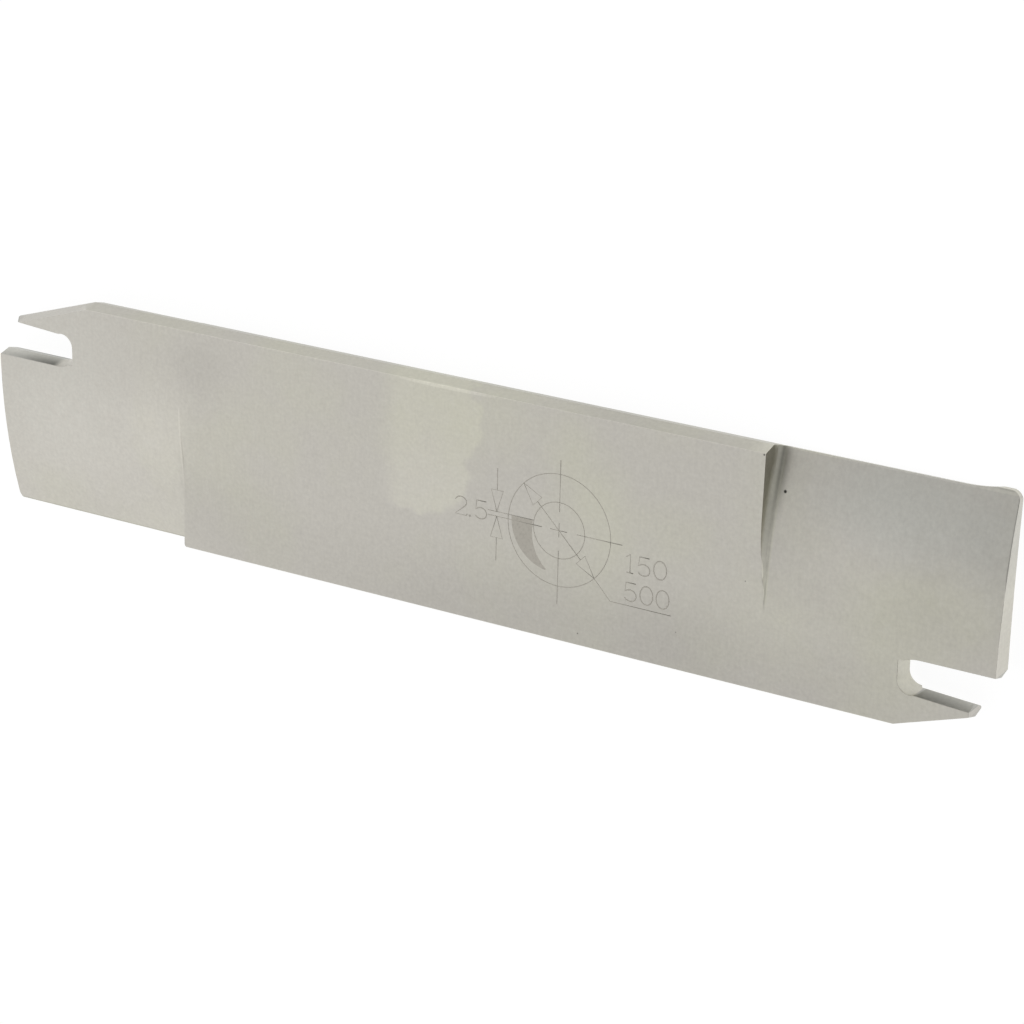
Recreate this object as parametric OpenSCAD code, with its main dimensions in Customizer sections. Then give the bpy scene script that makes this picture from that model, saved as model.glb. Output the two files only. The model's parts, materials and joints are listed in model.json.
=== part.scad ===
// Double-ended parting blade of the self-gripping kind, ground at both ends for face grooving.
// It lies on its back: X runs along it, Y across it from edge to edge, Z out of its front face.
// Half a turn about Z brings one end onto the other, apart from the start of the jaw's outer slope,
// and the run-out that only the right end's far edge has, so each end is drawn once and turned.
// At an end, the far edge is the long edge without the jaw.

/* [Blade] */
// Overall length, from end to end
blade_l = 150; // [110:1:200]
// Height over the crests of the two V edges
blade_h = 31.9; // [31:0.1:36]
// Thickness of the body
blade_t = 4.3; // [4:0.1:6]
// Fall of each flank of the V edges and V ridges, in degrees
flank_angle = 15; // [8:1:18]
// Radius of the rounded far corner of an end, seen from the front
far_corner_r = 1.3; // [0.5:0.1:2.5]

/* [Insert slots] */
// Height of the seat's crest above the far edge
seat_rise = 22.9; // [20:0.1:24]
// Gap between the crests of seat and jaw, at the slot's inner wall
slot_gap = 3.5; // [3:0.1:4.5]
// Depth of the slot, from the end to its inner wall
slot_depth = 12.6; // [9:0.1:16]
// Angle by which the jaw opens towards the mouth, in degrees
jaw_taper = 3.6; // [0:0.1:6]
// Radius between the inner wall and the jaw
slot_corner_r = 1.8; // [1:0.1:2.6]
// Depth to which that round corner is cut behind the jaw's crest
corner_relief = 0.6; // [0.55:0.05:0.9]
// Thickness of the blade that the seat's and the jaw's ridges are centred in
seat_t = 3.7; // [3:0.1:4]
// Distance from the inner wall at which the seat's flanks start to run out
seat_runout = 2.7; // [2.3:0.1:4]
// Wheel radius of the seat's run-out
seat_wheel_r = 5; // [2:0.5:6]

/* [Jaw] */
// Distance from the left end at which its jaw's outer slope leaves the long edge
left_slope_start = 15.1; // [12:0.1:16]
// Distance from the right end at which its jaw's outer slope leaves the long edge
right_slope_start = 12.7; // [12:0.1:16]
// Fall of the jaws' outer slopes, in degrees
slope_angle = 18.1; // [12:0.1:18.5]
// Distance by which a jaw's tip stands back from the end
jaw_setback = 3; // [2.5:0.1:5]
// Fall of the back flank of a jaw's ridge, in degrees
jaw_back_angle = 25; // [15:1:26]

/* [Ground ends] */
// Length of the ground end, from the end to the step
ground_l = 31.5; // [20:0.5:45]
// Radius of the convex front, half of the smallest groove diameter
front_r = 75; // [60:1:120]
// Height of the convex front's axis above the far edge
front_rise = 23; // [18:0.1:23.5]
// Fillet radius at the foot of the step
step_r = 1.2; // [0.4:0.1:2]
// Radius of the hollow back
back_r = 246; // [150:1:400]
// Depth of the hollow back at its deepest line
back_depth = 0.65; // [0.3:0.05:0.9]
// Height of the hollow back's deepest line above the far edge
back_rise = 19; // [16:0.5:22]
// Distance from the right end at which the back flank of its far edge starts to run out
edge_runout = 7; // [3:0.5:12]
// Wheel radius of that run-out
edge_wheel_r = 20; // [8:1:30]

/* [Hidden] */
$fn = 96;
// Facets of the two large ground surfaces
ground_fn = 1440;
// Overshoot of every cut past the faces that it leaves
over = 3;
// Lift of the convex front off the flat face, so that the two cross in a clean line
front_lift = 0.02;
// Sweep of the convex front's cut about its axis, in degrees
front_sweep = 1.4 * asin(front_rise / front_r);
// Radial depth of the convex front's cut, past the far corner of the front face
front_reach = sqrt(front_r * front_r + front_rise * front_rise) - front_r + over;
// Width of a flank's cut, from the crest to past the face
flank_w = blade_t;
// Depth of a flank's cut below its crest, and its overlap above the crest
flank_reach = 1.5 * flank_w * tan(flank_angle);
flank_skin = 0.05;
// Middle plane of the long edges' V, and of the ridges in a slot
edge_mid = blade_t / 2;
ridge_mid = blade_t - seat_t / 2;
// Height of the jaw's crest above the far edge, at the inner wall
jaw_rise = seat_rise + slot_gap;
// Distance from the end to the centre of a slot's round corner
round_x = slot_depth - slot_corner_r;

// Height of the jaw's crest above the far edge, at a distance in from the end
function jaw_line(inward) = jaw_rise + (slot_depth - inward) * tan(jaw_taper);

// Height of an outer slope above the far edge, at a distance in from the end
function slope_line(start, inward) = blade_h - (start - inward) * tan(slope_angle);

// Places children at both ends; their origin is the far corner of the end, X inwards, Y to the jaw
module at_both_ends() {
    for (turn = [0, 180]) {
        $slope_start = turn == 0 ? left_slope_start : right_slope_start;
        $runs_out = turn == 0;
        rotate(turn)
            translate([-blade_l / 2, -blade_h / 2])
                children();
    }
}

// Corner of a square outside its inscribed quarter circle
module corner_waste(r) {
    difference() {
        translate([-over, -over])
            square(r + over);
        translate([r, r])
            circle(r);
        translate([r, -2 * over])
            square(r + 4 * over);
        translate([-2 * over, r])
            square(r + 4 * over);
    }
}

// Outline of one slot at the level of its crests, open at the end.
// The half round at its inner corner reaches behind the jaw's crest, and so ends the jaw's ridge.
module slot_outline() {
    round_y = jaw_line(round_x) + corner_relief - slot_corner_r;
    polygon([
        [-over, seat_rise],
        [slot_depth, seat_rise],
        [slot_depth, round_y],
        [round_x, round_y],
        [round_x, jaw_line(round_x)],
        [-over, jaw_line(-over)]
    ]);
    translate([round_x, round_y])
        intersection() {
            circle(slot_corner_r);
            translate([-slot_corner_r, 0])
                square([2 * slot_corner_r, slot_corner_r]);
        }
}

// Waste around the jaw: above its outer slope and in front of its tip
module jaw_waste() {
    polygon([
        [-over, slope_line($slope_start, -over)],
        [$slope_start, blade_h],
        [$slope_start, blade_h + over],
        [-over, blade_h + over]
    ]);
    translate([-over, seat_rise])
        square([jaw_setback + over, blade_h - seat_rise + over]);
}

// The plate with both slots and jaws cut out
module plate() {
    linear_extrude(blade_t)
        difference() {
            square([blade_l, blade_h], center = true);
            at_both_ends() {
                slot_outline();
                jaw_waste();
                corner_waste(far_corner_r);
            }
        }
}

// Cut between a crest's level and a flank that falls from it, for a crest along X that faces +Y.
// The flank falls towards +Z, and ends in a wheel's run-out where wheel_r is over 0.
module flank_cut(length, wheel_r, angle = flank_angle) {
    intersection() {
        rotate([angle, 0, 0]) {
            cube([length, flank_reach + flank_skin, 2 * flank_w]);
            if (wheel_r > 0)
                translate([length, wheel_r, 0])
                    cylinder(h = 2 * flank_w, r = wheel_r);
        }
        translate([0, -flank_reach, 0])
            cube([length + wheel_r, flank_reach + flank_skin, flank_w]);
    }
}

// Cuts above both flanks of a crest, with the back flank's own angle
module ridge_cut(length, wheel_r, back_angle = flank_angle) {
    flank_cut(length, wheel_r);
    mirror([0, 0, 1])
        flank_cut(length, wheel_r, back_angle);
}

// V of the long edge that the jaw is on; the upper edge's back flank runs out before the right end
module edge_cut() {
    translate([-over, blade_h, edge_mid]) {
        flank_cut(blade_l + 2 * over, 0);
        mirror([0, 0, 1])
            if ($runs_out)
                flank_cut(blade_l + over - edge_runout, edge_wheel_r);
            else
                flank_cut(blade_l + 2 * over, 0);
    }
}

// V of a jaw's outer slope, mitred into the V of the long edge
module slope_cut() {
    slope_l = ($slope_start + over) / cos(slope_angle);
    translate([$slope_start, blade_h, edge_mid])
        rotate(slope_angle)
            translate([-slope_l, 0, 0])
                ridge_cut(slope_l + over, 0);
}

// Flanks of the seat's ridge
module seat_cut() {
    translate([-over, seat_rise, ridge_mid])
        ridge_cut(slot_depth - seat_runout + over, seat_wheel_r);
}

// Flanks of the jaw's ridge, which faces the seat and ends in the slot's round corner
module jaw_cut() {
    translate([round_x, jaw_line(round_x), ridge_mid])
        rotate(-jaw_taper)
            translate([-round_x - over, 0, 0])
                mirror([0, 1, 0])
                    ridge_cut(round_x + over, 0, jaw_back_angle);
}

// Convex front of a ground end, turned about an axis along the blade, with the step's fillet
module front_cut() {
    axis_z = blade_t - front_r + front_lift;
    translate([0, front_rise, axis_z])
        rotate(180, [1, 0, 1])
            rotate_extrude(angle = front_sweep, $fn = ground_fn) {
                polygon([
                    [front_r, -over],
                    [front_r + front_reach, -over],
                    [front_r + front_reach, ground_l],
                    [front_r + step_r, ground_l],
                    [front_r, ground_l - step_r]
                ]);
                translate([front_r + step_r, ground_l - step_r])
                    circle(step_r, $fn = 96);
            }
}

// Hollow back of a ground end
module back_cut() {
    translate([-over, back_rise, back_depth - back_r])
        rotate([0, 90, 0])
            cylinder(h = ground_l + over, r = back_r, $fn = ground_fn);
}

// The blade, ground from one plate
module blade() {
    color("#b7b5ae")
        difference() {
            plate();
            at_both_ends() {
                edge_cut();
                slope_cut();
                seat_cut();
                jaw_cut();
                front_cut();
                back_cut();
            }
        }
}

blade();
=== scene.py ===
"""A ground steel parting blade lying on a white floor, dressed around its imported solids."""

import json
import math
from collections import namedtuple

import bmesh
import bpy
from mathutils import Matrix, Quaternion, Vector

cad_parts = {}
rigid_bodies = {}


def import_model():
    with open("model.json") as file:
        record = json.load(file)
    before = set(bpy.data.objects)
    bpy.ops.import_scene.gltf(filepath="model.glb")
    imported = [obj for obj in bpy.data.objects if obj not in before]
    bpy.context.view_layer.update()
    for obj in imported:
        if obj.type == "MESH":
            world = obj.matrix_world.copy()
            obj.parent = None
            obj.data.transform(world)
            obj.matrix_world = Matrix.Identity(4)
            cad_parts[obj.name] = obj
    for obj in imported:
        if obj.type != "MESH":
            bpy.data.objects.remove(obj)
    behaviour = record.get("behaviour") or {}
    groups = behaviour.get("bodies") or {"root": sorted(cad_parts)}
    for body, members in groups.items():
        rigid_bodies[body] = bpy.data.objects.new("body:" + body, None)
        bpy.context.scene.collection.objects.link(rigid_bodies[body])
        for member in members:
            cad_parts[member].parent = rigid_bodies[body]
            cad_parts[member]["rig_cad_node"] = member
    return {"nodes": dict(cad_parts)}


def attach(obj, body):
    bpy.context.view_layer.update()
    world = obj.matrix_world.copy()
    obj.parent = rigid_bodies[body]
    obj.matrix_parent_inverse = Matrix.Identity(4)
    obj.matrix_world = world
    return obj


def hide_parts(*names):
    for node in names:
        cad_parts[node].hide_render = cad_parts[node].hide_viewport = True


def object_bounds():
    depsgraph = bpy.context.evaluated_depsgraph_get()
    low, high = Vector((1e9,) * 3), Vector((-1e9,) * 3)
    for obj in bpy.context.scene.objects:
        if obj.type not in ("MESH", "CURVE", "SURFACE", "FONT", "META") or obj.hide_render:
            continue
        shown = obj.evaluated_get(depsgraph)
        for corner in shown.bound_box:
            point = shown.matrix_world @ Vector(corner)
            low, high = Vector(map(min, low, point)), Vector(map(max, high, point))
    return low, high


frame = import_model()
CAD_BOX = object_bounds()

bl_info = {
    "name": "Parting Blade",
    "version": (1, 0, 0),
    "blender": (4, 5, 0),
    "location": "View3D > Sidebar > Blade",
    "description": "Finishes a ground parting blade with its engraved groove diagram",
    "category": "Object",
}

BODY = "root"
NODE = "blade"
MM = 0.001
FRONT_Z = CAD_BOX[1].z

# Distance of the two steps from the blade's middle, and the reach of their fillets
STEP_X = 43.5 * MM
STEP_R = 1.3 * MM
# Place across the blade below which the left step's corner is rounded
STEP_CORNER_Y = -15.2 * MM
# Both steps lean by a small angle, each about a place of its own across the blade; the height above
# which a step is one of the front
LEAN = math.radians(0.82)
RIGHT_LEAN_Y = 21.0 * MM
LEFT_LEAN_Y = -0.5 * MM
LEAN_Z = 0.7 * MM
# Place across the blade above which the right end face has the wider bevel in front
END_BREAK_Y = 4.0 * MM
# The left jaw's tip: where it starts along and across the blade, the lowest height of its front
# edge, the level between its slope and its ridge, and how far it is drawn out along each of the two
TIP_X = -71.95 * MM
TIP_Y = 10.0 * MM
TIP_FRONT_Z = 3.3 * MM
TIP_MIDDLE_Y = 11.5 * MM
SLOPE_DRAW = 1.3 * MM
RIDGE_DRAW = 0.7 * MM
# Gap below which vertices are merged, and angles below which faces are merged and shaded smooth
MERGE_GAP = 0.002 * MM
FLAT_ANGLE = math.radians(0.2)
SMOOTH_ANGLE = math.radians(34)
# Segments of a rounding and of a broken edge, and the profile of both, which is a circle's arc
ROUND_SEGMENTS = 3
BREAK_SEGMENTS = 2
BEVEL_PROFILE = 0.5
# How near vertices have to be to a square step, to a leaning one, to the left step's wall, to an end,
# and to a rounded tip
STEP_START = 0.01 * MM
STEP_ROOM = (-0.5 * MM, STEP_R + 0.3 * MM)
WALL_ROOM = 0.02 * MM
END_ROOM = 0.1 * MM
TIP_ROOM = 0.5 * MM
# Height of a unit normal above which a face counts as one of the front
FRONT_NORMAL = 0.5


# Shader maths

class Signal:
    """An output socket of a shader tree; Python's operators on it add Math nodes."""

    def __init__(self, tree, socket):
        self.tree = tree
        self.socket = socket

    def node(self, kind, settings=None, sockets=None, output=0):
        """Adds a node of one type, with its settings and then its sockets set, and gives an output."""
        made = self.tree.nodes.new(kind)
        for name, value in (settings or {}).items():
            setattr(made, name, value)
        for key, value in (sockets or {}).items():
            if isinstance(value, Signal):
                self.tree.links.new(value.socket, made.inputs[key])
            else:
                made.inputs[key].default_value = value
        return Signal(self.tree, made.outputs[output]) if len(made.outputs) else None

    def math(self, operation, *values):
        settings = {"operation": operation}
        return self.node("ShaderNodeMath", settings, dict(enumerate(values)))

    def __add__(self, other):
        return self.math("ADD", self, other)

    def __radd__(self, other):
        return self.math("ADD", other, self)

    def __sub__(self, other):
        return self.math("SUBTRACT", self, other)

    def __rsub__(self, other):
        return self.math("SUBTRACT", other, self)

    def __mul__(self, other):
        return self.math("MULTIPLY", self, other)

    def __rmul__(self, other):
        return self.math("MULTIPLY", other, self)

    def __abs__(self):
        return self.math("ABSOLUTE", self)

    def fade(self, start, end):
        """1 up to start, falling smoothly to 0 at end, or the other way where end comes first."""
        settings = {"interpolation_type": "SMOOTHSTEP"}
        sockets = {0: self, 1: start, 2: end, 3: 1.0, 4: 0.0}
        return self.node("ShaderNodeMapRange", settings, sockets)

    def noise(self, scale, detail=2.0, stretch=(1.0, 1.0, 1.0)):
        """Noise from -1 to 1 at these coordinates."""
        placed = self.node("ShaderNodeMapping", {}, {0: self, 3: stretch})
        sockets = {"Vector": placed, "Scale": scale, "Detail": detail}
        return self.node("ShaderNodeTexNoise", {}, sockets) * 2.0 - 1.0

    def distance(self, point, stretch=(1.0, 1.0, 1.0)):
        """Distance of these coordinates from a point, in a space stretched about it."""
        centred = self.node("ShaderNodeVectorMath", {"operation": "SUBTRACT"}, {0: self, 1: point})
        scaled = self.node("ShaderNodeVectorMath", {"operation": "MULTIPLY"}, {0: centred, 1: stretch})
        return self.node("ShaderNodeVectorMath", {"operation": "LENGTH"}, {0: scaled}, "Value")


def blend_colours(low, high, share):
    """Mixes two colours by a signal from 0 to 1."""
    settings = {"data_type": "RGBA", "clamp_factor": True}
    return share.node("ShaderNodeMix", settings, {0: share, 6: low, 7: high}, 2)


def scale_colour(colour, level):
    """Multiplies a colour signal by a level."""
    return level.node("ShaderNodeVectorMath", {"operation": "SCALE"}, {0: colour, 3: level})


def new_material(name):
    """A material with a bare tree, and a Signal of Object coordinates to start from."""
    material = bpy.data.materials.new(name)
    material.use_nodes = True
    tree = material.node_tree
    tree.nodes.clear()
    start = Signal(tree, None)
    return material, start.node("ShaderNodeTexCoord", {}, {}, "Object")


def set_surface(signal, shader):
    """Links a shader to the tree's output."""
    signal.node("ShaderNodeOutputMaterial", {}, {"Surface": shader})


# Sizes and colours that a user would change

class BladeFinishAndShading(bpy.types.PropertyGroup):
    """The ground steel of the blade, and the painted light and shade on it."""

    plain: bpy.props.FloatVectorProperty(
        name="Plain steel", description="Steel where it has no tint",
        subtype="COLOR", size=4, min=0.0, max=1.0, default=(0.62, 0.597, 0.545, 1.0))
    yellow: bpy.props.FloatVectorProperty(
        name="Yellow steel", description="Steel where it is tinted yellow",
        subtype="COLOR", size=4, min=0.0, max=1.0, default=(0.62, 0.608, 0.515, 1.0))
    cool: bpy.props.FloatVectorProperty(
        name="Cool steel", description="Steel where it is tinted blue",
        subtype="COLOR", size=4, min=0.0, max=1.0, default=(0.61, 0.603, 0.555, 1.0))
    roughness: bpy.props.FloatProperty(
        name="Roughness", description="Roughness of the fine ground finish",
        subtype="FACTOR", min=0.0, max=1.0, default=0.42)
    edge_shade: bpy.props.FloatProperty(
        name="Edge shade", description="Darkening of the flanks of the long edges",
        subtype="FACTOR", min=0.0, max=1.0, default=0.13)
    # The rim light is a painted highlight along the rim in front of the long edges' flanks
    rim_light: bpy.props.FloatProperty(
        name="Rim light", description="Lightening of the worn rim in front of those flanks",
        subtype="FACTOR", min=0.0, max=1.0, default=0.13)
    slope_shade: bpy.props.FloatProperty(
        name="Slope shade", description="Darkening of the flanks of the jaws' outer slopes",
        subtype="FACTOR", min=0.0, max=1.0, default=0.09)
    slot_shade: bpy.props.FloatProperty(
        name="Slot shade", description="Darkening of the flanks in the slots, at the mouth",
        subtype="FACTOR", min=0.0, max=1.0, default=0.04)
    end_light: bpy.props.FloatProperty(
        name="End light", description="Lightening of the end faces and of the right end's long edges",
        subtype="FACTOR", min=0.0, max=1.0, default=0.1)
    step_shade: bpy.props.FloatProperty(
        name="Step shade", description="Darkening beside the right step's fillet",
        subtype="FACTOR", min=0.0, max=1.0, default=0.27)
    step_light: bpy.props.FloatProperty(
        name="Step light", description="Lightening of the right step's fillet where it runs out",
        subtype="FACTOR", min=0.0, max=1.0, default=0.48)
    fillet_shade: bpy.props.FloatProperty(
        name="Fillet shade", description="Darkening of the left step's fillet",
        subtype="FACTOR", min=0.0, max=1.0, default=0.2)
    edge_break: bpy.props.FloatProperty(
        name="Edge break", description="Width of the deburred bevel along the edges",
        unit="LENGTH", min=0.0, default=0.06 * MM)
    end_break: bpy.props.FloatProperty(
        name="End break", description="Width of the bevel in front of the right end face",
        unit="LENGTH", min=0.0, default=0.12 * MM)
    tip_break: bpy.props.FloatProperty(
        name="Tip break", description="Width of the rounding of the right jaw's tip",
        unit="LENGTH", min=0.0, default=0.2 * MM)
    corner_break: bpy.props.FloatProperty(
        name="Corner break", description="Width of the rounding of the left step's lower corner",
        unit="LENGTH", min=0.0, default=0.4 * MM)
    sharp_angle: bpy.props.FloatProperty(
        name="Sharp angle", description="Edges that turn by more than this are broken",
        subtype="ANGLE", min=0.0, default=math.radians(14))


class DiagramSizes(bpy.types.PropertyGroup):
    """The engraved groove diagram on the front face."""

    centre: bpy.props.FloatVectorProperty(
        name="Centre", description="Centre of the rings on the front face",
        subtype="XYZ_LENGTH", size=2, default=(15.0 * MM, -0.55 * MM))
    outer_r: bpy.props.FloatProperty(
        name="Outer ring", description="Radius of the outer ring", unit="LENGTH", default=7.5 * MM)
    inner_r: bpy.props.FloatProperty(
        name="Inner ring", description="Radius of the inner ring", unit="LENGTH", default=3.75 * MM)
    offset: bpy.props.FloatProperty(
        name="Offset", description="Distance of the tool's top line above the centre line",
        unit="LENGTH", default=0.63 * MM)
    stroke: bpy.props.FloatProperty(
        name="Stroke", description="Width of an engraved line", unit="LENGTH", default=0.1 * MM)
    figure_stroke: bpy.props.FloatProperty(
        name="Figure stroke", description="Width of a figure's line", unit="LENGTH", default=0.14 * MM)
    height: bpy.props.FloatProperty(
        name="Figure height", description="Height of the figures", unit="LENGTH", default=2.45 * MM)
    colour: bpy.props.FloatVectorProperty(
        name="Marking", description="Colour of an engraved line",
        subtype="COLOR", size=4, min=0.0, max=1.0, default=(0.505, 0.48, 0.425, 1.0))
    tint: bpy.props.FloatVectorProperty(
        name="Tool section", description="Colour of the hatched tool section",
        subtype="COLOR", size=4, min=0.0, max=1.0, default=(0.515, 0.49, 0.435, 1.0))


class StageSetup(bpy.types.PropertyGroup):
    """The floor, the light and the camera."""

    azimuth: bpy.props.FloatProperty(
        name="Azimuth", description="Direction of the camera round the blade",
        subtype="ANGLE", default=math.radians(125.55))
    elevation: bpy.props.FloatProperty(
        name="Elevation", description="Height of the camera above the floor",
        subtype="ANGLE", default=math.radians(53.69))
    roll: bpy.props.FloatProperty(
        name="Roll", description="Turn of the camera about its own axis",
        subtype="ANGLE", default=math.radians(-118.58))
    distance: bpy.props.FloatProperty(
        name="Distance", description="Distance from the camera to its aim",
        unit="LENGTH", default=424.11 * MM)
    aim: bpy.props.FloatVectorProperty(
        name="Aim", description="Point that the camera looks at",
        subtype="XYZ_LENGTH", size=3, default=(6.102 * MM, -0.897 * MM, 1.036 * MM))
    lens: bpy.props.FloatProperty(
        name="Focal length", description="Focal length on a sensor 36 mm wide, in millimetres",
        min=1.0, default=116.38)
    light: bpy.props.FloatProperty(
        name="Light", description="Level of the light from straight above", min=0.0, default=0.536)
    slant: bpy.props.FloatVectorProperty(
        name="Slant", description="Gain of the light along X and along Y",
        size=2, default=(-0.54, -0.25))
    shade: bpy.props.FloatProperty(
        name="Shade", description="Lowest level of the light, on the dim side", min=0.0, default=0.42)
    dim: bpy.props.FloatProperty(
        name="Dim band", description="Loss of light in the dim band overhead", min=0.0, default=0.18)
    dim_at: bpy.props.FloatProperty(
        name="Dim band's place", description="Direction of the dim band along X", default=0.25)
    floor_size: bpy.props.FloatProperty(
        name="Floor", description="Length of the floor's sides", unit="LENGTH", default=6.0)


# Ground steel, laid out in millimetres from the blade's middle

# A pattern all over the steel: its scale, detail and stretch, and its gain of tone
Pattern = namedtuple("Pattern", "scale detail stretch tone")
DRIFT = Pattern(70.0, 3.0, (1.0, 1.0, 1.0), 0.035)
MOTTLE = Pattern(700.0, 2.0, (1.0, 1.0, 1.0), 0.055)
SPECKLE = Pattern(2100.0, 2.0, (1.0, 1.0, 1.0), 0.10)
GRAIN = Pattern(1.0, 2.0, (3600.0, 420.0, 3600.0), 0.05)
# Tint all over, and the gains of tint and roughness of the patterns
PLAIN_YELLOW = 0.12
DRIFT_YELLOW = 1.1
MOTTLE_COOL = 0.3
GRAIN_ROUGH = 0.05
MOTTLE_ROUGH = 0.03
# Strength and depth of the grain's relief
RELIEF = 0.2
RELIEF_DEPTH = 0.004 * MM
# A soft cloud on the front: its middle and reach on the front, and its gains; most are the finish's
# uneven tone, and the dark ones along the lower edge and over the left step's fillet are painted shade
Cloud = namedtuple("Cloud", "x y reach_x reach_y tone yellow cool")
SHADE_AND_TONE_CLOUDS = (
    Cloud(18.5, 8.5, 7.0, 8.0, 0.015, 0.6, 0.0),
    Cloud(20.5, 2.0, 4.5, 6.0, 0.02, 0.25, 0.0),
    Cloud(-41.0, 10.5, 6.0, 5.0, -0.05, 0.0, 0.0),
    Cloud(-42.2, -5.0, 1.8, 12.0, -0.015, 0.0, 0.0),
    # Painted shade over the bright reflection in the left step's fillet
    Cloud(-44.2, -6.0, 1.2, 6.0, -0.06, 0.0, 0.0),
    # Painted shade: a broad darkening along the lower edge
    Cloud(16.0, -15.5, 52.0, 12.0, -0.12, -0.2, 0.0),
    Cloud(66.0, -2.0, 15.0, 11.0, -0.01, 0.8, 0.0),
    Cloud(62.0, 11.0, 16.0, 8.0, 0.0, -0.3, 1.0),
    Cloud(57.0, 4.0, 10.0, 8.0, 0.07, 0.1, 0.0),
    Cloud(74.0, 9.0, 7.0, 10.0, -0.06, 0.0, 0.4),
    Cloud(56.0, -13.0, 14.0, 8.0, -0.02, 0.4, 0.0),
    Cloud(-47.5, 1.0, 7.0, 9.5, 0.075, 0.2, 0.0),
    Cloud(-60.0, 0.0, 14.0, 14.0, 0.03, -0.2, 0.0),
    Cloud(-66.0, 4.0, 18.0, 18.0, 0.035, -0.5, 0.3),
    Cloud(71.0, 3.0, 6.0, 5.0, 0.05, 0.0, 0.0),
    # Painted shade on the lower half, on both sides of the middle
    Cloud(-34.0, -10.0, 14.0, 9.0, -0.05, 0.0, 0.0),
    Cloud(34.0, -11.0, 12.0, 8.0, -0.035, 0.0, 0.0),
    Cloud(32.0, 3.0, 6.0, 7.0, 0.0, 0.35, 0.0),
    # Painted shade near the lower edge at the left end
    Cloud(-64.0, -14.0, 14.0, 7.0, -0.03, 0.0, 0.0),
)
# Shares of a cloud's reach between which it fades
CLOUD_FADE = (0.15, 1.15)
# Small dark pits in the steel: place on the front, radius, and depth of tone
Pit = namedtuple("Pit", "x y radius tone")
PITS = (
    Pit(45.28, 10.33, 0.21, 0.9),
    Pit(43.2, 15.2, 0.12, 0.8),
    Pit(41.5, -1.5, 0.09, 0.5),
    Pit(18.15, -13.8, 0.10, 0.6),
    Pit(32.2, -10.4, 0.08, 0.5),
)
# Shares of a pit's radius between which it fades
PIT_FADE = (0.6, 1.3)
# The wiped patch on the front face: middles and reaches of its two lobes, how smoothly they join, the
# scale, detail and gain of its ragged border, where it fades, and where it fades on its left
WIPE_LOBES = (((-6.0, 10.5), (9.9, 8.0)), ((-8.0, 3.2), (9.9, 6.0)))
WIPE_JOIN = 0.5
WIPE_RAGGED = (210.0, 3.0)
WIPE_RAGGED_GAIN = 0.35
WIPE_FADE = (0.9, 1.04)
WIPE_LEFT = (-8.5, -13.0)
# The patch's gains of tone, tint and roughness, and its further gain of tone lower down
WIPE_TONE = 0.08
WIPE_YELLOW = 0.5
WIPE_ROUGH = 0.02
WIPE_LOW = (2.0, 10.0)
WIPE_LOW_TONE = 0.03
# Half of the width of a soft border, on the long edges and slopes and in the slots
SOFT = 0.05
SLOT_SOFT = 0.04
# Half of the blade's length, and the lowest height of the flat front face
HALF_LENGTH = 75.0
FLAT_FRONT_Z = 4.2
# The long edges: where their flanks start, which get painted shade, the fade of the painted highlight on
# the rim in front, where the right end's flanks are painted lighter instead, and their tint
EDGE_FLANK_Y = 15.38
RIM_FADE = (0.03, 0.14)
EDGE_SHADE_END = (40.0, 46.0)
EDGE_YELLOW = 0.4
# A broader stretch of the rim's painted highlight in front of the upper edge: its middle, reach and fade
BROAD_RIM_AT = (-2.0, 15.2)
BROAD_RIM_REACH = (9.0, 0.3)
BROAD_RIM_FADE = (0.5, 1.0)
# The outer slopes of the jaws: their fall, the place of their flank's front edge across the blade, the
# mean and the half difference of their starts, and where their shade ends
SLOPE_FALL = 0.327
SLOPE_FRONT = 15.36
SLOPE_START = (13.9, 1.2)
SLOPE_END = (13.0, 15.0)
# The end faces' painted light: its fade inwards, its least share, and where it rises
END_FADE = (0.03, 0.15)
END_LEAST = 0.6
END_RISE = (4.0, -4.0)
# The jaws' tips: where they are, inwards and across, and how much darker they are
TIP_INWARD = (3.1, 3.2)
TIP_RISE = (10.5, 10.0)
TIP_DARKEN = 0.08
# The right end's convex front: the place of its axis across the blade, and its radius
GROUND_AXIS_Y = 7.05
GROUND_R = 75.0
# The right step, outwards from its wall: the fades of its foot and its top, and of both sides of the band
# of painted shade beside its fillet
STEP_FOOT = (1.2, 1.4)
STEP_TOP = (0.03, -0.03)
BESIDE_OUTER = (1.0, 2.3)
BESIDE_INNER = (0.85, 0.45)
# Height over which the step fades below the flat front, and heights above the ground front between
# which the fillet fades into it
STEP_DROP = 0.09
FILLET_LIFT = (0.08, 0.02)
# Where the step's looks change across the blade: the fillet's end, the top of the painted shade beside
# it, and the fillet's painted highlight in its lower part and in its upper part; the gain of the upper
# highlight, and the step's tint
FILLET_END = (-6.0, -7.0)
BESIDE_TOP = (12.0, 6.0)
LOW_LIGHT = (-1.5, 9.0)
HIGH_LIGHT = (9.5, 12.5)
HIGH_LIGHT_GAIN = 0.12
STEP_YELLOW = 0.5
# The painted shade on the left step's fillet, from its wall: the fades of its top and its foot, and the
# height over which it fades below the flat front
FILLET_SHADE_TOP = (0.0, 0.05)
FILLET_SHADE_FOOT = (-0.3, -1.2)
FILLET_SHADE_DROP = 0.1
# The slots: the seat's front edge and the jaw's front edge across the blade, the jaw's opening along its
# length, where a slot's flanks end, and how much earlier or later than that the left and the right one do
SEAT_FRONT = 6.46
JAW_FRONT = 11.74
JAW_OPENING = 0.063
FLANK_END = (9.3, 10.5)
FLANK_SHIFT = 0.3
# Darkness of the slots' flanks: its gain inwards, its level in front, the reach of that, and its gain on
# the seat and on the jaw
INWARD_SHADE = 0.022
FORWARD_SHADE = 0.14
FORWARD_REACH = 0.5
SEAT_GAIN = 1.3
JAW_GAIN = 0.6
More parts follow.
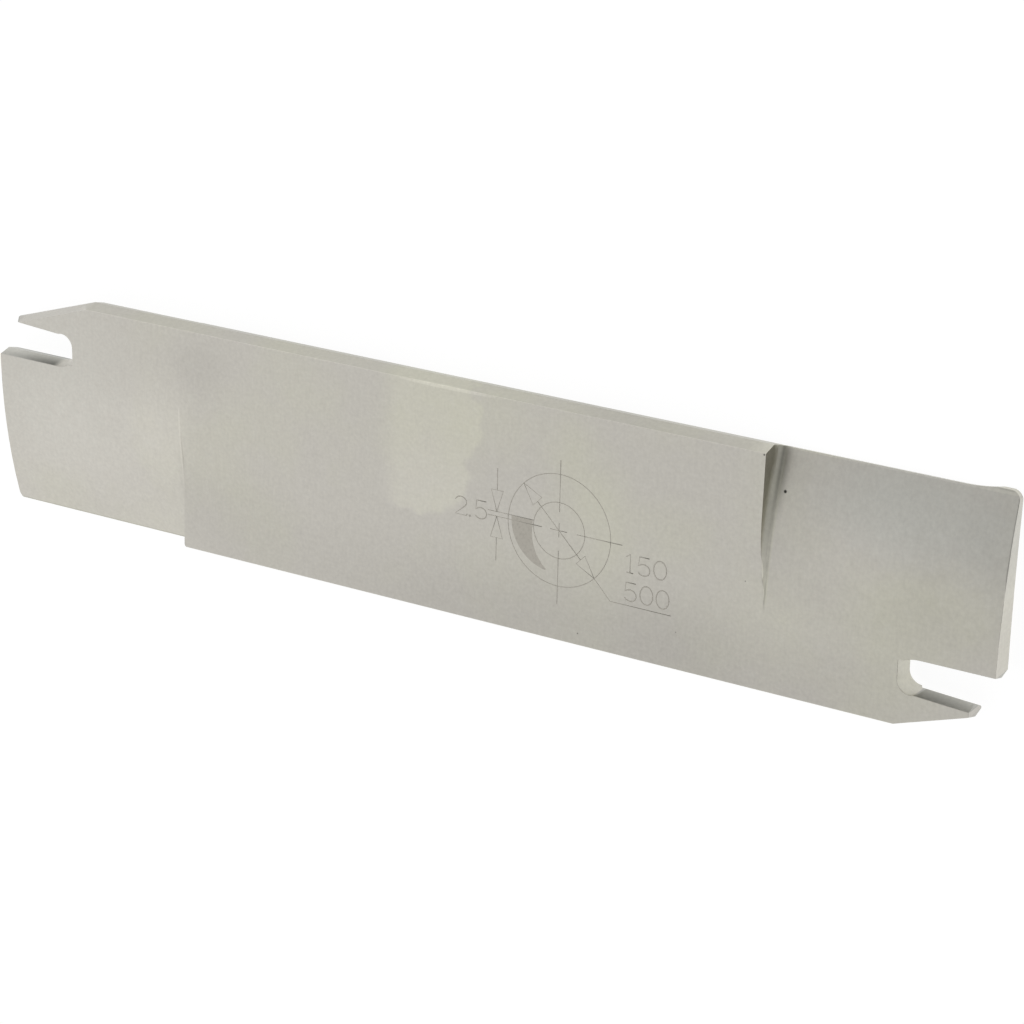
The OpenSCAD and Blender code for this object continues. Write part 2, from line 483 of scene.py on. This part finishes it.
# Engraved steel: scale of its uneven tone, its roughness, and the scale and gain of that
MARK_SCALE = 2600.0
MARK_ROUGHNESS = 0.5
MARK_ROUGH_SCALE = 1800.0
MARK_ROUGH_GAIN = 0.05
BLACK = (0.0, 0.0, 0.0, 1.0)

# Signals of a place on the steel: its Object coordinates, then along, across and up from the blade's
# middle, the side of the nearer end, the distance from that end and the distance towards its jaw
Place = namedtuple("Place", "point along across up side inward rise")


class Looks:
    """Tone, yellow tint and cool tint of the steel, which each part of the finish and of the painted
    light and shade changes.
    """

    def __init__(self, tone, yellow, cool):
        self.tone = tone
        self.yellow = yellow
        self.cool = cool


def find_place(point):
    """Splits Object coordinates into a place on the blade, in millimetres."""
    parts = point.node("ShaderNodeSeparateXYZ", {}, {0: point}).socket.node.outputs
    along, across, up = [Signal(point.tree, part) * (1.0 / MM) for part in parts]
    side = along.math("SIGN", along)
    inward = HALF_LENGTH - abs(along)
    rise = 0.0 - across * side
    return Place(point, along, across, up, side, inward, rise)


def near(point, x, y, reach_x, reach_y):
    """Distance on the front from a place, as a share of the reach along and across."""
    spread = (1.0 / (reach_x * MM), 1.0 / (reach_y * MM), 0.0)
    return point.distance((x * MM, y * MM, FRONT_Z), spread)


def pattern_noise(point, pattern):
    """The noise of a pattern, without its gain."""
    return point.noise(pattern.scale, pattern.detail, pattern.stretch)


def wiped_patch(place):
    """1 on the wiped patch of the front face, with a ragged border on its right."""
    first, second = [near(place.point, *middle, *reach) for middle, reach in WIPE_LOBES]
    gap = first.math("SMOOTH_MIN", first, second, WIPE_JOIN)
    border = gap + place.point.noise(*WIPE_RAGGED) * WIPE_RAGGED_GAIN
    return border.fade(*WIPE_FADE) * place.along.fade(*WIPE_LEFT)


def on_long_edges(place):
    """1 on the flanks of the long edges."""
    return abs(place.across).fade(EDGE_FLANK_Y + SOFT, EDGE_FLANK_Y - SOFT)


def add_shade_and_tone_clouds(looks, place):
    """Adds the soft clouds of tone and tint, partly uneven tone of the steel and partly painted shade."""
    for cloud in SHADE_AND_TONE_CLOUDS:
        gap = near(place.point, cloud.x, cloud.y, cloud.reach_x, cloud.reach_y)
        share = gap.fade(*CLOUD_FADE)
        looks.tone = looks.tone + share * cloud.tone
        looks.yellow = looks.yellow + share * cloud.yellow
        looks.cool = looks.cool + share * cloud.cool


def shade_edges(looks, place, finish):
    """Paints shade on the flanks of the long edges, painted light instead at the right end, and on the
    flanks of the jaws' outer slopes, with a painted highlight on the rim in front of the long edges.
    """
    edges = on_long_edges(place)
    rim = abs(abs(place.across) - EDGE_FLANK_Y).fade(*RIM_FADE)
    rim = rim * place.up.fade(FLAT_FRONT_Z + SOFT, FLAT_FRONT_Z)
    broad_rim = near(place.point, *BROAD_RIM_AT, *BROAD_RIM_REACH).fade(*BROAD_RIM_FADE)
    start, difference = SLOPE_START
    slope = place.rise + (start - difference * place.side - place.inward) * SLOPE_FALL
    slopes = slope.fade(SLOPE_FRONT + SOFT, SLOPE_FRONT - SOFT) * place.inward.fade(*SLOPE_END)
    dark = place.along.fade(*EDGE_SHADE_END) * (finish.edge_shade + finish.end_light) - finish.end_light
    shaded = edges * dark + slopes * (1.0 - edges) * finish.slope_shade
    # Painted shade on the flanks, and a painted highlight along the rim and its broader stretch
    looks.tone = looks.tone * (1.0 - shaded + (rim + broad_rim) * finish.rim_light)
    looks.yellow = looks.yellow + edges * EDGE_YELLOW


def shade_ends(looks, place, finish):
    """Paints light on the end faces, and darkens and cools the tips of the jaws."""
    ends = place.inward.fade(*END_FADE) * (END_LEAST + place.across.fade(*END_RISE) * (1.0 - END_LEAST))
    tips = place.inward.fade(*TIP_INWARD) * place.rise.fade(*TIP_RISE)
    looks.tone = looks.tone * (1.0 + ends * finish.end_light - tips * TIP_DARKEN)
    looks.yellow = looks.yellow - tips


def shade_right_step(looks, place, finish):
    """Paints shade on a band beside the right step's fillet at the top, and a highlight on the fillet
    lower down.
    """
    across, up = place.across, place.up
    off_axis = across + GROUND_AXIS_Y
    lift = up + off_axis * off_axis * (0.5 / GROUND_R) - FRONT_Z / MM
    outward = place.along + (RIGHT_LEAN_Y / MM - across) * LEAN - STEP_X / MM
    stepped = outward.fade(*STEP_FOOT) * outward.fade(*STEP_TOP)
    stepped = stepped * up.fade(FLAT_FRONT_Z, FLAT_FRONT_Z + STEP_DROP)
    fillet = stepped * lift.fade(*FILLET_LIFT) * across.fade(*FILLET_END)
    beside = outward.fade(*BESIDE_OUTER) * outward.fade(*BESIDE_INNER)
    light = across.fade(*LOW_LIGHT) * finish.step_light + across.fade(*HIGH_LIGHT) * HIGH_LIGHT_GAIN
    looks.tone = looks.tone * (1.0 - beside * across.fade(*BESIDE_TOP) * finish.step_shade)
    looks.tone = looks.tone * (1.0 + fillet * light)
    looks.yellow = looks.yellow + stepped * STEP_YELLOW
    looks.cool = looks.cool - (stepped + beside)


def shade_left_step(looks, place, finish):
    """Paints shade over the bright reflection in the left step's fillet."""
    outward = place.along + (LEFT_LEAN_Y / MM - place.across) * LEAN + STEP_X / MM
    fillet_shading = outward.fade(*FILLET_SHADE_TOP) * outward.fade(*FILLET_SHADE_FOOT)
    fillet_shading = fillet_shading * place.up.fade(FLAT_FRONT_Z, FLAT_FRONT_Z + FILLET_SHADE_DROP) * (1.0 - on_long_edges(place))
    looks.tone = looks.tone * (1.0 - fillet_shading * finish.fillet_shade)


def shade_slots(looks, place, finish):
    """Darkens the flanks of the ridges in both slots, more so inwards and towards the front."""
    inward, rise = place.inward, place.rise
    jaw_rise = rise + inward * JAW_OPENING
    flanks = (inward - place.side * FLANK_SHIFT).fade(*FLANK_END)
    flanks = flanks * rise.fade(SEAT_FRONT + SLOT_SOFT, SEAT_FRONT - SLOT_SOFT)
    flanks = flanks * jaw_rise.fade(JAW_FRONT - SLOT_SOFT, JAW_FRONT + SLOT_SOFT)
    forward = rise.fade(SEAT_FRONT, SEAT_FRONT + FORWARD_REACH) * SEAT_GAIN
    forward = forward + jaw_rise.fade(JAW_FRONT, JAW_FRONT - FORWARD_REACH) * JAW_GAIN
    depth = finish.slot_shade + inward * INWARD_SHADE
    depth = depth + forward * (FORWARD_SHADE + inward * INWARD_SHADE)
    looks.tone = looks.tone * (1.0 - flanks * depth)
    looks.yellow = looks.yellow - flanks
    looks.cool = looks.cool + flanks


def add_pits(looks, place):
    """Adds the small dark pits."""
    start, end = PIT_FADE
    for pit in PITS:
        gap = place.point.distance((pit.x * MM, pit.y * MM, FRONT_Z), (1.0, 1.0, 0.0))
        share = gap.fade(start * pit.radius * MM, end * pit.radius * MM)
        looks.tone = looks.tone * (1.0 - share * pit.tone)


def ground_steel(finish):
    """Fine ground steel: a grain, soft clouds partly of painted shade, a wiped patch, painted shade on
    flanks and steps, painted light on the ends and on the right step's fillet, a painted highlight on the
    long edges' rim, and pits.
    """
    material, point = new_material("ground_steel")
    place = find_place(point)
    drift, mottle, speckle, grain = [pattern_noise(point, p) for p in (DRIFT, MOTTLE, SPECKLE, GRAIN)]
    wiped = wiped_patch(place)
    tone = 1.0 + drift * DRIFT.tone + mottle * MOTTLE.tone + speckle * SPECKLE.tone + grain * GRAIN.tone
    tone = tone + wiped * (WIPE_TONE + place.across.fade(*WIPE_LOW) * WIPE_LOW_TONE)
    yellow = PLAIN_YELLOW + drift * DRIFT_YELLOW + wiped * WIPE_YELLOW
    looks = Looks(tone, yellow, mottle * MOTTLE_COOL)
    add_shade_and_tone_clouds(looks, place)
    shade_edges(looks, place, finish)
    shade_ends(looks, place, finish)
    shade_right_step(looks, place, finish)
    shade_left_step(looks, place, finish)
    shade_slots(looks, place, finish)
    add_pits(looks, place)
    steel = blend_colours(tuple(finish.plain), tuple(finish.yellow), looks.yellow)
    steel = blend_colours(steel, tuple(finish.cool), looks.cool)
    rough = finish.roughness + grain * GRAIN_ROUGH + mottle * MOTTLE_ROUGH + wiped * WIPE_ROUGH
    relief = {"Strength": RELIEF, "Distance": RELIEF_DEPTH, "Height": grain}
    set_surface(point, point.node("ShaderNodeBsdfPrincipled", {}, {
        "Base Color": scale_colour(steel, looks.tone),
        "Metallic": 1.0,
        "Roughness": rough,
        "Normal": point.node("ShaderNodeBump", {}, relief),
    }))
    return material


def marked_steel(name, colour, unevenness):
    """Steel darkened by engraving, with an uneven depth of tone."""
    material, point = new_material(name)
    share = 1.0 + point.noise(MARK_SCALE) * unevenness
    set_surface(point, point.node("ShaderNodeBsdfPrincipled", {}, {
        "Base Color": blend_colours(BLACK, tuple(colour), share),
        "Metallic": 1.0,
        "Roughness": MARK_ROUGHNESS + point.noise(MARK_ROUGH_SCALE) * MARK_ROUGH_GAIN,
    }))
    return material


# Modelling helpers

def deselect_all():
    """Leaves object mode with nothing selected."""
    if bpy.context.object and bpy.context.object.mode != "OBJECT":
        bpy.ops.object.mode_set(mode="OBJECT")
    bpy.ops.object.select_all(action="DESELECT")


def select_only(piece):
    """Makes one object the selected and active one."""
    deselect_all()
    piece.select_set(True)
    bpy.context.view_layer.objects.active = piece


def dress(piece, material):
    """Gives a finished piece its material and its body."""
    piece.data.materials.clear()
    piece.data.materials.append(material)
    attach(piece, BODY)


# Strokes of the diagram, as lists of points

# Steps along an arc and round a ring
ARC_STEPS = 24
RING_STEPS = 128


def line(*points):
    """A stroke through points."""
    return [Vector(p) for p in points]


def arc(centre, radii, start, end, steps=ARC_STEPS):
    """Points along an ellipse's arc, with angles in degrees."""
    angles = [math.radians(start + (end - start) * i / steps) for i in range(steps + 1)]
    x, y = centre
    return [Vector((x + radii[0] * math.cos(a), y + radii[1] * math.sin(a))) for a in angles]


def ring(radius):
    """A full circle about the diagram's centre."""
    return arc((0.0, 0.0), (radius, radius), 0.0, 360.0, RING_STEPS)


def arrowhead(apex, direction, length, half_width):
    """Outline of an open arrowhead, closed at its base."""
    along = Vector(direction).normalized()
    side = Vector((-along.y, along.x)) * half_width
    base = Vector(apex) - along * length
    return [Vector(apex), base + side, base - side, Vector(apex)]


# The diagram's centre lines: the ends of their dashes across and along the blade, from the rings' centre
DASHES_ACROSS = ((9.4, 2.5), (1.0, -0.9), (-2.7, -9.95))
DASHES_ALONG = ((-10.55, -2.5), (-1.3, 1.2), (2.65, 9.2))
# Start of the tool's top line, and length and half width of an arrowhead
TOP_LINE_X = -10.55 * MM
HEAD_LENGTH = 2.9 * MM
HEAD_HALF = 0.9 * MM
# The height's dimension line: its place along the blade and its two ends across
HEIGHT_X = -9.2 * MM
HEIGHT_TOP = 6.5 * MM
HEIGHT_BOTTOM = -6.0 * MM
# The diameters' leader: its bend, and the end of the line under the figures
LEADER = (7.7 * MM, -7.85 * MM)
LEADER_END = 16.4 * MM
# The tool's section: centre, radius, and first and last angle of its outer and its inner side
SECTION_OUTER = ((-0.9, 0.3), 6.1, (180.0, 261.0))
SECTION_INNER = ((1.96, -1.0), 5.91, (231.0, 172.0))
# Thickness of the engraved lines and of the section, the section's extrusion before it is flattened, and
# the gap below which vertices of an engraving are merged
LINE_DEPTH = 0.02 * MM
SECTION_DEPTH = 0.012 * MM
SECTION_EXTRUDE = 0.1 * MM
ENGRAVED_GAP = 0.001 * MM
# Gain of the engraved tone's unevenness
LINE_UNEVEN = 0.15
SECTION_UNEVEN = 0.225
# Figures in a box one unit high
FIGURES = {
    "0": [arc((0.31, 0.5), (0.27, 0.5), 0, 360, 40)],
    "1": [line((0.15, 0.85), (0.31, 1.0), (0.31, 0.0)), line((0.17, 0.0), (0.45, 0.0))],
    "2": [arc((0.3, 0.71), (0.25, 0.29), 165, -35) + line((0.05, 0.0), (0.56, 0.0), (0.58, 0.1))],
    "5": [line((0.54, 1.0), (0.12, 1.0), (0.08, 0.5)) + arc((0.3, 0.31), (0.26, 0.31), 130, -150)],
    ".": [line((0.0, 0.0), (0.06, 0.0), (0.06, 0.06), (0.0, 0.06), (0.0, 0.0))],
}
# Rows of figures: text, left end and baseline, from the rings' centre
FIGURE_ROWS = (
    ("2.5", -15.62 * MM, -0.86 * MM),
    ("150", 9.35 * MM, -3.42 * MM),
    ("500", 9.5 * MM, -7.2 * MM),
)
# Width of a figure against the box's, pitch of the figures, and steps of the narrow ones against it
FIGURE_WIDTH = 1.38
FIGURE_PITCH = 2.3 * MM
FIGURE_STEPS = {".": 0.3, "1": 0.85}


def figure_strokes(text, left, baseline, height):
    """Strokes of a row of figures."""
    strokes = []
    width = height * FIGURE_WIDTH
    for mark in text:
        for stroke in FIGURES[mark]:
            strokes.append([Vector((left + p.x * width, baseline + p.y * height)) for p in stroke])
        left += FIGURE_PITCH * FIGURE_STEPS.get(mark, 1.0)
    return strokes


def section_side(centre, radius, angles):
    """One side of the tool's section, as points along a circle's arc."""
    x, y = centre
    return arc((x * MM, y * MM), (radius * MM, radius * MM), *angles)


def curve_on_front(name, strokes, centre, closed=False):
    """A curve object on the front face, one poly line for each stroke."""
    deselect_all()
    bpy.ops.object.add(type="CURVE")
    piece = bpy.context.object
    piece.name = name
    piece.data.dimensions = "2D" if closed else "3D"
    for stroke in strokes:
        spline = piece.data.splines.new("POLY")
        spline.points.add(len(stroke) - 1)
        for point, at in zip(spline.points, stroke):
            point.co = (centre[0] + at.x, centre[1] + at.y, 0.0, 1.0)
        spline.use_cyclic_u = closed
    return piece


def engrave(piece, depth):
    """Makes a curve a mesh and sets it on the front face, flattened to a depth."""
    select_only(piece)
    bpy.ops.object.convert(target="MESH")
    thickness = piece.dimensions.z
    bpy.ops.object.mode_set(mode="EDIT")
    bpy.ops.mesh.select_all(action="SELECT")
    bpy.ops.transform.resize(value=(1.0, 1.0, depth / thickness), center_override=(0.0, 0.0, 0.0))
    bpy.ops.transform.translate(value=(0.0, 0.0, FRONT_Z))
    bpy.ops.mesh.remove_doubles(threshold=ENGRAVED_GAP)
    bpy.ops.mesh.normals_make_consistent(inside=False)
    bpy.ops.object.mode_set(mode="OBJECT")


def engrave_lines(name, material_name, strokes, width, sizes):
    """Engraves strokes of one width as one piece."""
    piece = curve_on_front(name, strokes, sizes.centre)
    piece.data.bevel_depth = width / 2
    piece.data.bevel_resolution = 1
    piece.data.use_fill_caps = True
    engrave(piece, LINE_DEPTH)
    dress(piece, marked_steel(material_name, sizes.colour, LINE_UNEVEN))


# Operators, one for each piece and one for the stage

class BLADE_OT_grind_body(bpy.types.Operator):
    """Break the blade's edges and give it its ground finish, with painted light and shade"""

    bl_idname = "blade.grind_body"
    bl_label = "Grind Body"

    def execute(self, context):
        finish = context.scene.blade_finish
        body = self.copy_node(context)
        bpy.ops.object.mode_set(mode="EDIT")
        bpy.ops.mesh.select_all(action="SELECT")
        bpy.ops.mesh.remove_doubles(threshold=MERGE_GAP)
        bpy.ops.mesh.dissolve_limited(angle_limit=FLAT_ANGLE)
        bpy.ops.mesh.select_mode(type="VERT")
        self.draw_left_tip(body)
        self.lean_step(body, 1, RIGHT_LEAN_Y)
        self.lean_step(body, -1, LEFT_LEAN_Y)
        bpy.ops.mesh.select_mode(type="EDGE")
        self.break_edges(body, finish)
        bpy.ops.mesh.select_all(action="SELECT")
        bpy.ops.mesh.remove_doubles(threshold=MERGE_GAP)
        bpy.ops.mesh.dissolve_degenerate(threshold=MERGE_GAP)
        bpy.ops.object.mode_set(mode="OBJECT")
        bpy.ops.object.shade_smooth_by_angle(angle=SMOOTH_ANGLE)
        evened = body.modifiers.new("Even normals", "WEIGHTED_NORMAL")
        evened.keep_sharp = True
        bpy.ops.object.modifier_apply(modifier=evened.name)
        dress(body, ground_steel(finish))
        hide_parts(NODE)
        return {"FINISHED"}

    def copy_node(self, context):
        """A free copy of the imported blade, selected and active."""
        select_only(frame["nodes"][NODE])
        bpy.ops.object.duplicate()
        body = context.object
        body.name = "blade_body"
        body.parent = None
        del body["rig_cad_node"]
        bpy.ops.mesh.customdata_custom_splitnormals_clear()
        return body

    def draw_left_tip(self, body):
        """Draws the left jaw's tip out behind its front edge, along its slope and along its ridge."""
        for above, draw, fall in ((True, SLOPE_DRAW, -SLOPE_FALL), (False, RIDGE_DRAW, JAW_OPENING)):
            self.select_verts(body, lambda at: self.on_left_tip(at) and (at.y > TIP_MIDDLE_Y) == above)
            bpy.ops.transform.translate(value=(-draw, draw * fall, 0.0))

    def lean_step(self, body, side, pivot_y):
        """Turns the wall and the fillet of one side's step by a small angle about Z."""
        self.select_verts(body, lambda at: -STEP_START < at.x * side - STEP_X < STEP_R and at.z > LEAN_Z)
        pivot = (STEP_X * side, pivot_y, 0.0)
        bpy.ops.transform.rotate(value=LEAN, orient_axis="Z", center_override=pivot)

    def break_edges(self, body, finish):
        """Bevels the sharp edges, each kind to its own width."""
        kinds = (
            (self.on_step_corner, finish.corner_break, ROUND_SEGMENTS),
            (self.on_right_tip, finish.tip_break, ROUND_SEGMENTS),
            (self.on_end, finish.end_break, BREAK_SEGMENTS),
            (self.elsewhere, finish.edge_break, BREAK_SEGMENTS),
        )
        for wanted, width, segments in kinds:
            self.select_sharp(body, finish.sharp_angle, wanted)
            bpy.ops.mesh.bevel(
                offset=width, segments=segments, profile=BEVEL_PROFILE, clamp_overlap=False)

    def select_verts(self, body, wanted):
        """Selects the vertices of one kind, and nothing else."""
        bpy.ops.mesh.select_all(action="DESELECT")
        mesh = bmesh.from_edit_mesh(body.data)
        for vert in mesh.verts:
            if wanted(vert.co):
                vert.select_set(True)
        mesh.select_flush_mode()
        bmesh.update_edit_mesh(body.data)

    def select_sharp(self, body, angle, wanted):
        """Selects the sharp edges of one kind, and nothing else."""
        bpy.ops.mesh.select_all(action="DESELECT")
        bpy.ops.mesh.edges_select_sharp(sharpness=angle)
        mesh = bmesh.from_edit_mesh(body.data)
        for edge in [e for e in mesh.edges if e.select]:
            if not wanted(edge):
                edge.select_set(False)
        bmesh.update_edit_mesh(body.data)

    def on_left_tip(self, at):
        """Whether a vertex is on the left jaw's tip, behind its front edge."""
        return at.x < TIP_X and at.y > TIP_Y and at.z < TIP_FRONT_Z

    def on_step(self, edge):
        """Whether an edge is on the wall or the fillet of a step."""
        start, end = STEP_ROOM
        return all(start < abs(v.co.x) - STEP_X < end for v in edge.verts)

    def on_step_corner(self, edge):
        """Whether an edge is the lower corner of the left step's wall."""
        gaps = [v.co.x + STEP_X + LEAN * (LEFT_LEAN_Y - v.co.y) for v in edge.verts]
        low = all(v.co.y < STEP_CORNER_Y for v in edge.verts)
        return low and all(abs(gap) < WALL_ROOM for gap in gaps)

    def on_right_tip(self, edge):
        """Whether an edge is on the right jaw's tip, behind its front edge."""
        at_tip = all(abs(v.co.x + TIP_X) < END_ROOM and v.co.y < -TIP_Y for v in edge.verts)
        return at_tip and not self.beside_front(edge)

    def on_end(self, edge):
        """Whether an edge is in front of the right end face, along its upper part."""
        end_x = HALF_LENGTH * MM - END_ROOM
        at_end = all(v.co.x > end_x and v.co.y > END_BREAK_Y for v in edge.verts)
        return at_end and self.beside_front(edge)

    def beside_front(self, edge):
        """Whether an edge is one of a face of the front."""
        return any(face.normal.z > FRONT_NORMAL for face in edge.link_faces)

    def on_rounded_tip(self, edge):
        """Whether an edge is on the right jaw's tip, which is round already."""
        return all(v.co.x > -TIP_X - TIP_ROOM and v.co.y < -TIP_Y for v in edge.verts)

    def elsewhere(self, edge):
        """Whether an edge is on no step, not in front of the right end face and on no rounded tip."""
        return not self.on_step(edge) and not self.on_end(edge) and not self.on_rounded_tip(edge)


class BLADE_OT_mark_diagram(bpy.types.Operator):
    """Engrave the groove diagram's rings, lines and arrows"""

    bl_idname = "blade.mark_diagram"
    bl_label = "Mark Diagram"

    def execute(self, context):
        sizes = context.scene.blade_diagram
        outer, inner, offset = sizes.outer_r, sizes.inner_r, sizes.offset
        slant = Vector((-1.0, 1.0)).normalized()
        tip = slant * outer
        strokes = [ring(outer), ring(inner)]
        strokes += [line((0, top * MM), (0, bottom * MM)) for top, bottom in DASHES_ACROSS]
        strokes += [line((left * MM, 0), (right * MM, 0)) for left, right in DASHES_ALONG]
        strokes += [
            line((TOP_LINE_X, offset), (-inner, offset)),
            line(tip - slant * HEAD_LENGTH, slant * (HEAD_LENGTH - outer)),
            line(-tip, LEADER, (LEADER_END, LEADER[1])),
            arrowhead(tip, slant, HEAD_LENGTH, HEAD_HALF),
            arrowhead(-tip, -slant, HEAD_LENGTH, HEAD_HALF),
            line((HEIGHT_X, HEIGHT_TOP), (HEIGHT_X, offset + HEAD_LENGTH)),
            arrowhead((HEIGHT_X, offset), (0, -1), HEAD_LENGTH, HEAD_HALF),
            arrowhead((HEIGHT_X, 0), (0, 1), HEAD_LENGTH, HEAD_HALF),
            line((HEIGHT_X, -HEAD_LENGTH), (HEIGHT_X, HEIGHT_BOTTOM)),
        ]
        engrave_lines("diagram_lines", "marked_lines", strokes, sizes.stroke, sizes)
        return {"FINISHED"}


class BLADE_OT_mark_section(bpy.types.Operator):
    """Engrave the hatched section of the tool in the groove"""

    bl_idname = "blade.mark_section"
    bl_label = "Mark Tool Section"

    def execute(self, context):
        sizes = context.scene.blade_diagram
        outer = section_side(*SECTION_OUTER)
        inner = section_side(*SECTION_INNER)
        top = line((inner[-1].x, sizes.offset), (outer[0].x, sizes.offset))
        piece = curve_on_front("diagram_section", [outer + inner + top], sizes.centre, True)
        piece.data.fill_mode = "BOTH"
        piece.data.extrude = SECTION_EXTRUDE
        engrave(piece, SECTION_DEPTH)
        dress(piece, marked_steel("marked_section", sizes.tint, SECTION_UNEVEN))
        return {"FINISHED"}


class BLADE_OT_mark_figures(bpy.types.Operator):
    """Engrave the diagram's plain figures"""

    bl_idname = "blade.mark_figures"
    bl_label = "Mark Figures"

    def execute(self, context):
        sizes = context.scene.blade_diagram
        strokes = []
        for text, left, baseline in FIGURE_ROWS:
            strokes += figure_strokes(text, left, baseline, sizes.height)
        engrave_lines("diagram_figures", "marked_figures", strokes, sizes.figure_stroke, sizes)
        return {"FINISHED"}


# The stage: the floor's drop below the blade, its paint, its glow and the glow's share, the fade of the
# dim band, and the camera's sensor in millimetres and its nearest distance
FLOOR_DROP = 0.02 * MM
FLOOR_PAINT = (0.86, 0.86, 0.86, 1.0)
WHITE = (1.0, 1.0, 1.0, 1.0)
FLOOR_GLOW = 1.15
GLOW_SHARE = 0.8
DIM_FADE = (0.05, 0.35)
SENSOR_WIDTH = 36.0
CLIP_START = 0.01


class BLADE_OT_set_stage(bpy.types.Operator):
    """Lay the floor, set the light and aim the camera"""

    bl_idname = "blade.set_stage"
    bl_label = "Set Stage"

    def execute(self, context):
        stage = context.scene.blade_stage
        self.lay_floor(stage)
        self.set_light(context, stage)
        self.aim_camera(context, stage)
        context.scene.view_settings.view_transform = "Standard"
        return {"FINISHED"}

    def lay_floor(self, stage):
        """Lays a white floor that keeps the blade's shadow."""
        deselect_all()
        bpy.ops.mesh.primitive_plane_add(size=stage.floor_size, location=(0.0, 0.0, -FLOOR_DROP))
        floor = bpy.context.object
        floor.name = "floor"
        material, point = new_material("white_floor")
        seen = point.node("ShaderNodeLightPath", {}, {}, "Is Camera Ray")
        rays = seen.socket.node.outputs
        mirrored = Signal(seen.tree, rays["Is Glossy Ray"])
        passed = Signal(seen.tree, rays["Is Transmission Ray"])
        shown = seen + mirrored + passed
        share = shown.math("MINIMUM", shown, 1.0) * GLOW_SHARE
        paint = point.node("ShaderNodeBsdfDiffuse", {}, {"Color": FLOOR_PAINT})
        glow = point.node("ShaderNodeEmission", {}, {"Color": WHITE, "Strength": FLOOR_GLOW})
        set_surface(point, point.node("ShaderNodeMixShader", {}, {0: share, 1: paint, 2: glow}))
        floor.data.materials.append(material)

    def set_light(self, context, stage):
        """Lights the blade from all round, brighter on one side, with a dim band overhead."""
        world = bpy.data.worlds.new("soft_daylight")
        world.use_nodes = True
        tree = world.node_tree
        tree.nodes.clear()
        way = Signal(tree, None).node("ShaderNodeTexCoord", {}, {}, "Generated")
        along = way.node("ShaderNodeSeparateXYZ", {}, {0: way}, "X")
        across = Signal(tree, along.socket.node.outputs["Y"])
        level = along * stage.slant[0] + across * stage.slant[1] + stage.light
        dim = abs(along - stage.dim_at).fade(*DIM_FADE)
        level = level.math("MAXIMUM", level, stage.shade) - dim * stage.dim
        lamp = way.node("ShaderNodeBackground", {}, {"Color": WHITE, "Strength": level})
        way.node("ShaderNodeOutputWorld", {}, {"Surface": lamp})
        context.scene.world = world

    def aim_camera(self, context, stage):
        """Sets the camera at the photo's angle."""
        back = Vector((
            math.sin(stage.azimuth) * math.cos(stage.elevation),
            -math.cos(stage.azimuth) * math.cos(stage.elevation),
            math.sin(stage.elevation),
        ))
        data = bpy.data.cameras.new("photo_camera")
        data.lens = stage.lens
        data.sensor_width = SENSOR_WIDTH
        data.clip_start = CLIP_START
        camera = bpy.data.objects.new("photo_camera", data)
        context.scene.collection.objects.link(camera)
        level = (-back).to_track_quat("-Z", "Y")
        turn = level @ Quaternion((0.0, 0.0, 1.0), stage.roll)
        stand = Matrix.Translation(Vector(stage.aim) + back * stage.distance)
        camera.matrix_world = stand @ turn.to_matrix().to_4x4()
        context.scene.camera = camera


class BLADE_PT_panel(bpy.types.Panel):
    """Lists the steps that make the blade"""

    bl_idname = "BLADE_PT_panel"
    bl_label = "Parting Blade"
    bl_space_type = "VIEW_3D"
    bl_region_type = "UI"
    bl_category = "Blade"

    def draw(self, context):
        for operator in OPERATORS:
            self.layout.operator(operator.bl_idname)


OPERATORS = (
    BLADE_OT_set_stage,
    BLADE_OT_grind_body,
    BLADE_OT_mark_diagram,
    BLADE_OT_mark_section,
    BLADE_OT_mark_figures,
)
GROUPS = {"blade_finish": BladeFinishAndShading, "blade_diagram": DiagramSizes, "blade_stage": StageSetup}
CLASSES = (*GROUPS.values(), *OPERATORS, BLADE_PT_panel)


def register():
    for cls in CLASSES:
        bpy.utils.register_class(cls)
    for name, group in GROUPS.items():
        setattr(bpy.types.Scene, name, bpy.props.PointerProperty(type=group))


def unregister():
    for name in GROUPS:
        delattr(bpy.types.Scene, name)
    for cls in reversed(CLASSES):
        bpy.utils.unregister_class(cls)


def main():
    register()
    bpy.ops.blade.set_stage()
    bpy.ops.blade.grind_body()
    bpy.ops.blade.mark_diagram()
    bpy.ops.blade.mark_section()
    bpy.ops.blade.mark_figures()


if __name__ == "__main__":
    main()
